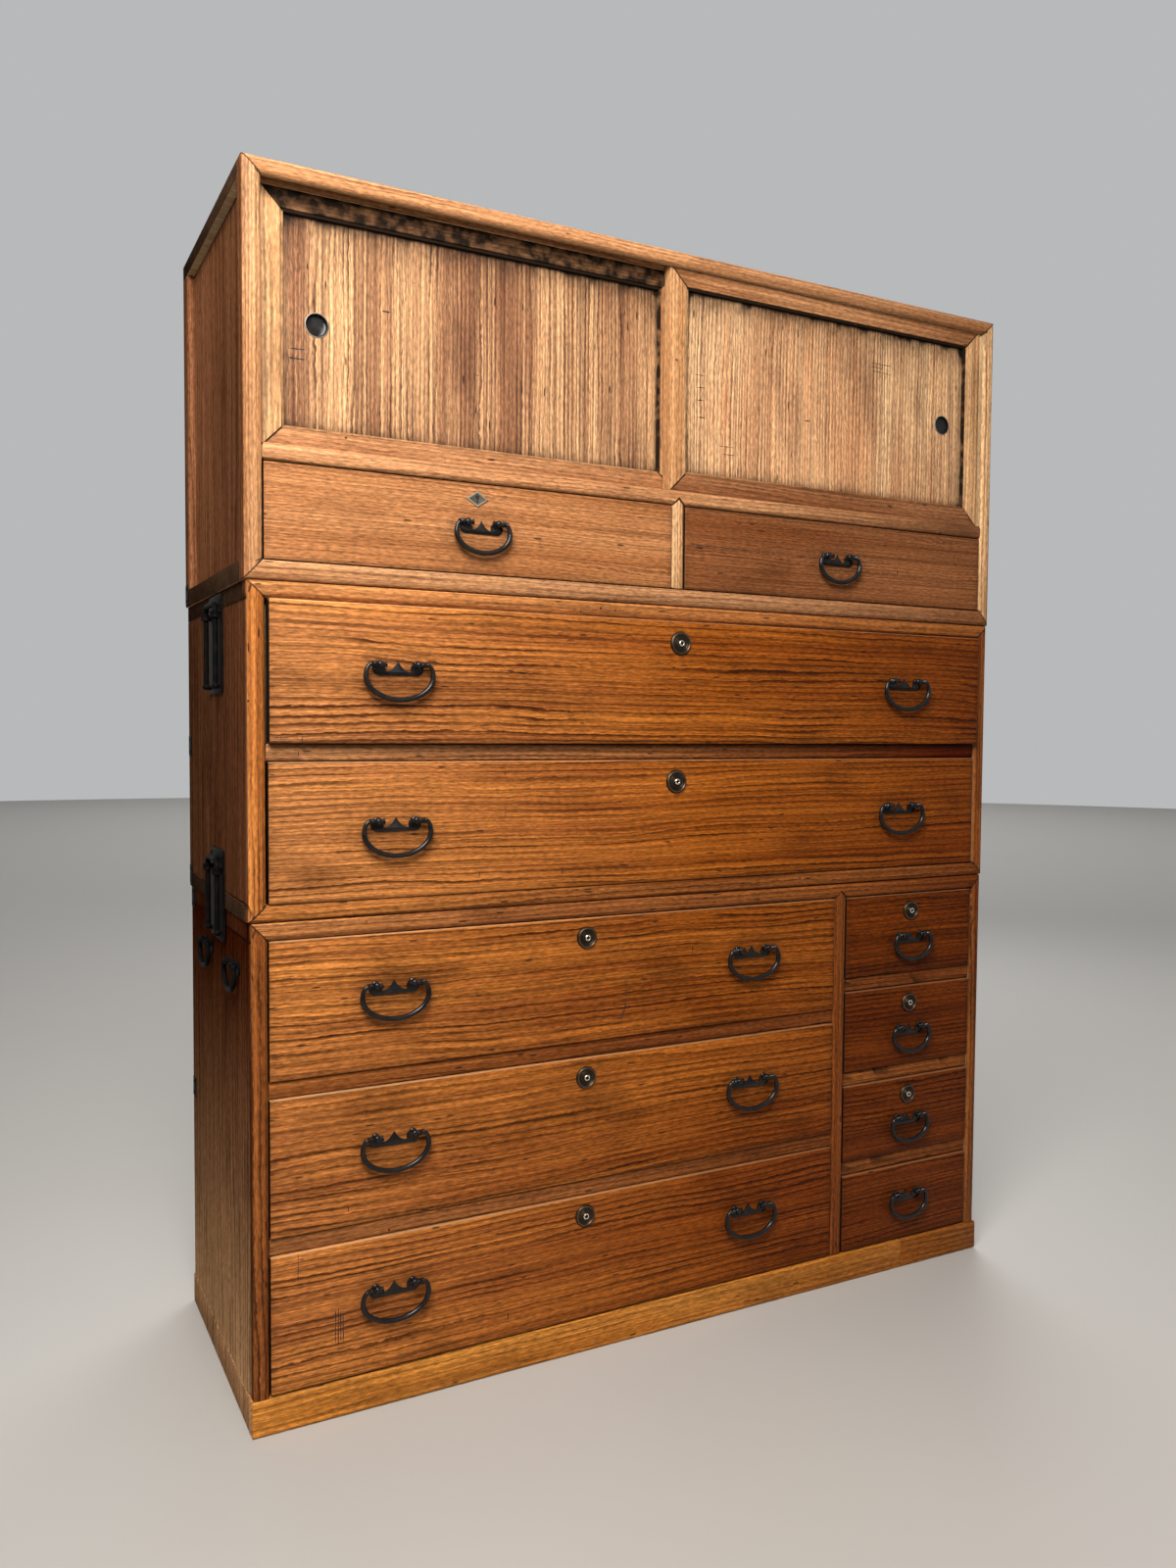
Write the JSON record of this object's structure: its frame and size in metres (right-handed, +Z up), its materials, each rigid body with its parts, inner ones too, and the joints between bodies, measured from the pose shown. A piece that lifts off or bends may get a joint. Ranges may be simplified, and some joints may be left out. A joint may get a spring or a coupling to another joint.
{
  "type": "kimono chest",
  "caption": "Stacked wooden garment chest in three sections: wide and small drawers, a cupboard with sliding doors, black iron bail pulls and side carrying bars.",
  "frame": {"origin": "centre of the whole chest's bounding box, on the floor under it", "axes": "+Z up, the front with the drawers faces -Y, +X to the right as seen from the front"},
  "size_m": [1.242, 0.427, 1.55],
  "materials": {
    "drawer_wood": "glossy wiped lacquer over strong grain",
    "frame_wood": "worn satin lacquer",
    "side_wood": "dark worn satin stain",
    "inner_wood": "bare",
    "iron": "black satin"
  },
  "bodies": {
    "lower_case": {"plinth": "frame_wood", "lower_left_side": "side_wood", "lower_right_side": "side_wood", "lower_top": "frame_wood", "lower_bottom": "inner_wood", "lower_back": "inner_wood", "small_bay_frame": "frame_wood", "wide_rail_1": "frame_wood", "wide_rail_2": "frame_wood"},
    "middle_case": {"middle_left_side": "side_wood", "middle_right_side": "side_wood", "middle_top": "frame_wood", "middle_bottom": "frame_wood", "middle_back": "inner_wood", "middle_rail": "frame_wood"},
    "upper_case": {"upper_left_side": "side_wood", "upper_right_side": "side_wood", "upper_top": "frame_wood", "upper_bottom": "frame_wood", "upper_back": "inner_wood", "upper_sill": "frame_wood", "upper_divider": "frame_wood"},
    "wide_drawer_1": {"wide_drawer_1": "drawer_wood"},
    "wide_drawer_2": {"wide_drawer_2": "drawer_wood"},
    "wide_drawer_3": {"wide_drawer_3": "drawer_wood"},
    "small_drawer_1": {"small_drawer_1": "drawer_wood"},
    "small_drawer_2": {"small_drawer_2": "drawer_wood"},
    "small_drawer_3": {"small_drawer_3": "drawer_wood"},
    "small_drawer_4": {"small_drawer_4": "drawer_wood"},
    "middle_drawer_1": {"middle_drawer_1": "drawer_wood"},
    "middle_drawer_2": {"middle_drawer_2": "drawer_wood"},
    "upper_left_drawer": {"upper_left_drawer": "drawer_wood"},
    "upper_right_drawer": {"upper_right_drawer": "drawer_wood"},
    "wide_drawer_1_bail_left": {"wide_drawer_1_bail_left": "iron"},
    "wide_drawer_1_bail_right": {"wide_drawer_1_bail_right": "iron"},
    "wide_drawer_2_bail_left": {"wide_drawer_2_bail_left": "iron"},
    "wide_drawer_2_bail_right": {"wide_drawer_2_bail_right": "iron"},
    "wide_drawer_3_bail_left": {"wide_drawer_3_bail_left": "iron"},
    "wide_drawer_3_bail_right": {"wide_drawer_3_bail_right": "iron"},
    "small_drawer_1_bail": {"small_drawer_1_bail": "iron"},
    "small_drawer_2_bail": {"small_drawer_2_bail": "iron"},
    "small_drawer_3_bail": {"small_drawer_3_bail": "iron"},
    "small_drawer_4_bail": {"small_drawer_4_bail": "iron"},
    "middle_drawer_1_bail_left": {"middle_drawer_1_bail_left": "iron"},
    "middle_drawer_1_bail_right": {"middle_drawer_1_bail_right": "iron"},
    "middle_drawer_2_bail_left": {"middle_drawer_2_bail_left": "iron"},
    "middle_drawer_2_bail_right": {"middle_drawer_2_bail_right": "iron"},
    "upper_left_drawer_bail": {"upper_left_drawer_bail": "iron"},
    "upper_right_drawer_bail": {"upper_right_drawer_bail": "iron"},
    "left_side_bail_front": {"left_side_bail_front": "iron"},
    "left_side_bail_back": {"left_side_bail_back": "iron"},
    "right_side_bail_front": {"right_side_bail_front": "iron"},
    "right_side_bail_back": {"right_side_bail_back": "iron"},
    "left_carrying_bar_upper": {"left_carrying_bar_upper": "iron"},
    "left_carrying_bar_lower": {"left_carrying_bar_lower": "iron"},
    "right_carrying_bar_upper": {"right_carrying_bar_upper": "iron"},
    "right_carrying_bar_lower": {"right_carrying_bar_lower": "iron"},
    "left_door": {"left_door": "frame_wood"},
    "right_door": {"right_door": "frame_wood"}
  },
  "joints": [
    {"name": "middle_lift", "type": "slide", "parent": "lower_case", "child": "middle_case", "axis": [0, 0, 1], "range_m": [0, 0.3]},
    {"name": "upper_lift", "type": "slide", "parent": "middle_case", "child": "upper_case", "axis": [0, 0, 1], "range_m": [0, 0.3]},
    {"name": "wide_drawer_1_slide", "type": "slide", "parent": "lower_case", "child": "wide_drawer_1", "axis": [0, -1, 0], "range_m": [0, 0.3]},
    {"name": "wide_drawer_2_slide", "type": "slide", "parent": "lower_case", "child": "wide_drawer_2", "axis": [0, -1, 0], "range_m": [0, 0.3]},
    {"name": "wide_drawer_3_slide", "type": "slide", "parent": "lower_case", "child": "wide_drawer_3", "axis": [0, -1, 0], "range_m": [0, 0.3]},
    {"name": "small_drawer_1_slide", "type": "slide", "parent": "lower_case", "child": "small_drawer_1", "axis": [0, -1, 0], "range_m": [0, 0.3]},
    {"name": "small_drawer_2_slide", "type": "slide", "parent": "lower_case", "child": "small_drawer_2", "axis": [0, -1, 0], "range_m": [0, 0.3]},
    {"name": "small_drawer_3_slide", "type": "slide", "parent": "lower_case", "child": "small_drawer_3", "axis": [0, -1, 0], "range_m": [0, 0.3]},
    {"name": "small_drawer_4_slide", "type": "slide", "parent": "lower_case", "child": "small_drawer_4", "axis": [0, -1, 0], "range_m": [0, 0.3]},
    {"name": "middle_drawer_1_slide", "type": "slide", "parent": "middle_case", "child": "middle_drawer_1", "axis": [0, -1, 0], "range_m": [-0.008, 0.3]},
    {"name": "middle_drawer_2_slide", "type": "slide", "parent": "middle_case", "child": "middle_drawer_2", "axis": [0, -1, 0], "range_m": [0, 0.3]},
    {"name": "upper_left_drawer_slide", "type": "slide", "parent": "upper_case", "child": "upper_left_drawer", "axis": [0, -1, 0], "range_m": [0, 0.3]},
    {"name": "upper_right_drawer_slide", "type": "slide", "parent": "upper_case", "child": "upper_right_drawer", "axis": [0, -1, 0], "range_m": [0, 0.3]},
    {"name": "wide_drawer_1_bail_left_hinge", "type": "hinge", "parent": "wide_drawer_1", "child": "wide_drawer_1_bail_left", "pos_m": [-0.4225, -0.2005, 0.5498], "axis": [-1, 0, 0], "range_deg": [0, 90]},
    {"name": "wide_drawer_1_bail_right_hinge", "type": "hinge", "parent": "wide_drawer_1", "child": "wide_drawer_1_bail_right", "pos_m": [0.1355, -0.2005, 0.5498], "axis": [-1, 0, 0], "range_deg": [0, 90]},
    {"name": "wide_drawer_2_bail_left_hinge", "type": "hinge", "parent": "wide_drawer_2", "child": "wide_drawer_2_bail_left", "pos_m": [-0.4225, -0.2005, 0.3534], "axis": [-1, 0, 0], "range_deg": [0, 90]},
    {"name": "wide_drawer_2_bail_right_hinge", "type": "hinge", "parent": "wide_drawer_2", "child": "wide_drawer_2_bail_right", "pos_m": [0.1355, -0.2005, 0.3534], "axis": [-1, 0, 0], "range_deg": [0, 90]},
    {"name": "wide_drawer_3_bail_left_hinge", "type": "hinge", "parent": "wide_drawer_3", "child": "wide_drawer_3_bail_left", "pos_m": [-0.4225, -0.2005, 0.157], "axis": [-1, 0, 0], "range_deg": [0, 90]},
    {"name": "wide_drawer_3_bail_right_hinge", "type": "hinge", "parent": "wide_drawer_3", "child": "wide_drawer_3_bail_right", "pos_m": [0.1355, -0.2005, 0.157], "axis": [-1, 0, 0], "range_deg": [0, 90]},
    {"name": "small_drawer_1_bail_hinge", "type": "hinge", "parent": "small_drawer_1", "child": "small_drawer_1_bail", "pos_m": [0.4495, -0.2005, 0.54875], "axis": [-1, 0, 0], "range_deg": [0, 90]},
    {"name": "small_drawer_2_bail_hinge", "type": "hinge", "parent": "small_drawer_2", "child": "small_drawer_2_bail", "pos_m": [0.4495, -0.2005, 0.39825], "axis": [-1, 0, 0], "range_deg": [0, 90]},
    {"name": "small_drawer_3_bail_hinge", "type": "hinge", "parent": "small_drawer_3", "child": "small_drawer_3_bail", "pos_m": [0.4495, -0.2005, 0.25095], "axis": [-1, 0, 0], "range_deg": [0, 90]},
    {"name": "small_drawer_4_bail_hinge", "type": "hinge", "parent": "small_drawer_4", "child": "small_drawer_4_bail", "pos_m": [0.4495, -0.2005, 0.12385], "axis": [-1, 0, 0], "range_deg": [0, 90]},
    {"name": "middle_drawer_1_bail_left_hinge", "type": "hinge", "parent": "middle_drawer_1", "child": "middle_drawer_1_bail_left", "pos_m": [-0.42, -0.2085, 0.95545], "axis": [-1, 0, 0], "range_deg": [0, 90]},
    {"name": "middle_drawer_1_bail_right_hinge", "type": "hinge", "parent": "middle_drawer_1", "child": "middle_drawer_1_bail_right", "pos_m": [0.42, -0.2085, 0.95545], "axis": [-1, 0, 0], "range_deg": [0, 90]},
    {"name": "middle_drawer_2_bail_left_hinge", "type": "hinge", "parent": "middle_drawer_2", "child": "middle_drawer_2_bail_left", "pos_m": [-0.42, -0.2005, 0.75835], "axis": [-1, 0, 0], "range_deg": [0, 90]},
    {"name": "middle_drawer_2_bail_right_hinge", "type": "hinge", "parent": "middle_drawer_2", "child": "middle_drawer_2_bail_right", "pos_m": [0.42, -0.2005, 0.75835], "axis": [-1, 0, 0], "range_deg": [0, 90]},
    {"name": "upper_left_drawer_bail_hinge", "type": "hinge", "parent": "upper_left_drawer", "child": "upper_left_drawer_bail", "pos_m": [-0.30375, -0.2005, 1.14305], "axis": [-1, 0, 0], "range_deg": [0, 90]},
    {"name": "upper_right_drawer_bail_hinge", "type": "hinge", "parent": "upper_right_drawer", "child": "upper_right_drawer_bail", "pos_m": [0.28675, -0.2005, 1.14305], "axis": [-1, 0, 0], "range_deg": [0, 90]},
    {"name": "left_side_bail_front_hinge", "type": "hinge", "parent": "lower_case", "child": "left_side_bail_front", "pos_m": [-0.612, -0.1045, 0.576], "axis": [0, 1, 0], "range_deg": [0, 90]},
    {"name": "left_side_bail_back_hinge", "type": "hinge", "parent": "lower_case", "child": "left_side_bail_back", "pos_m": [-0.612, 0.0695, 0.576], "axis": [0, 1, 0], "range_deg": [0, 90]},
    {"name": "right_side_bail_front_hinge", "type": "hinge", "parent": "lower_case", "child": "right_side_bail_front", "pos_m": [0.612, -0.1045, 0.576], "axis": [0, -1, 0], "range_deg": [0, 90]},
    {"name": "right_side_bail_back_hinge", "type": "hinge", "parent": "lower_case", "child": "right_side_bail_back", "pos_m": [0.612, 0.0695, 0.576], "axis": [0, -1, 0], "range_deg": [0, 90]},
    {"name": "left_door_slide", "type": "slide", "parent": "upper_case", "child": "left_door", "axis": [1, 0, 0], "range_m": [0, 0.571]},
    {"name": "right_door_slide", "type": "slide", "parent": "upper_case", "child": "right_door", "axis": [1, 0, 0], "range_m": [-0.571, 0]},
    {"name": "left_carrying_bar_upper_slide", "type": "slide", "parent": "middle_case", "child": "left_carrying_bar_upper", "axis": [0, 0, 1], "range_m": [0, 0.065]},
    {"name": "left_carrying_bar_lower_slide", "type": "slide", "parent": "middle_case", "child": "left_carrying_bar_lower", "axis": [0, 0, 1], "range_m": [0, 0.065]},
    {"name": "right_carrying_bar_upper_slide", "type": "slide", "parent": "middle_case", "child": "right_carrying_bar_upper", "axis": [0, 0, 1], "range_m": [0, 0.065]},
    {"name": "right_carrying_bar_lower_slide", "type": "slide", "parent": "middle_case", "child": "right_carrying_bar_lower", "axis": [0, 0, 1], "range_m": [0, 0.065]}
  ]
}
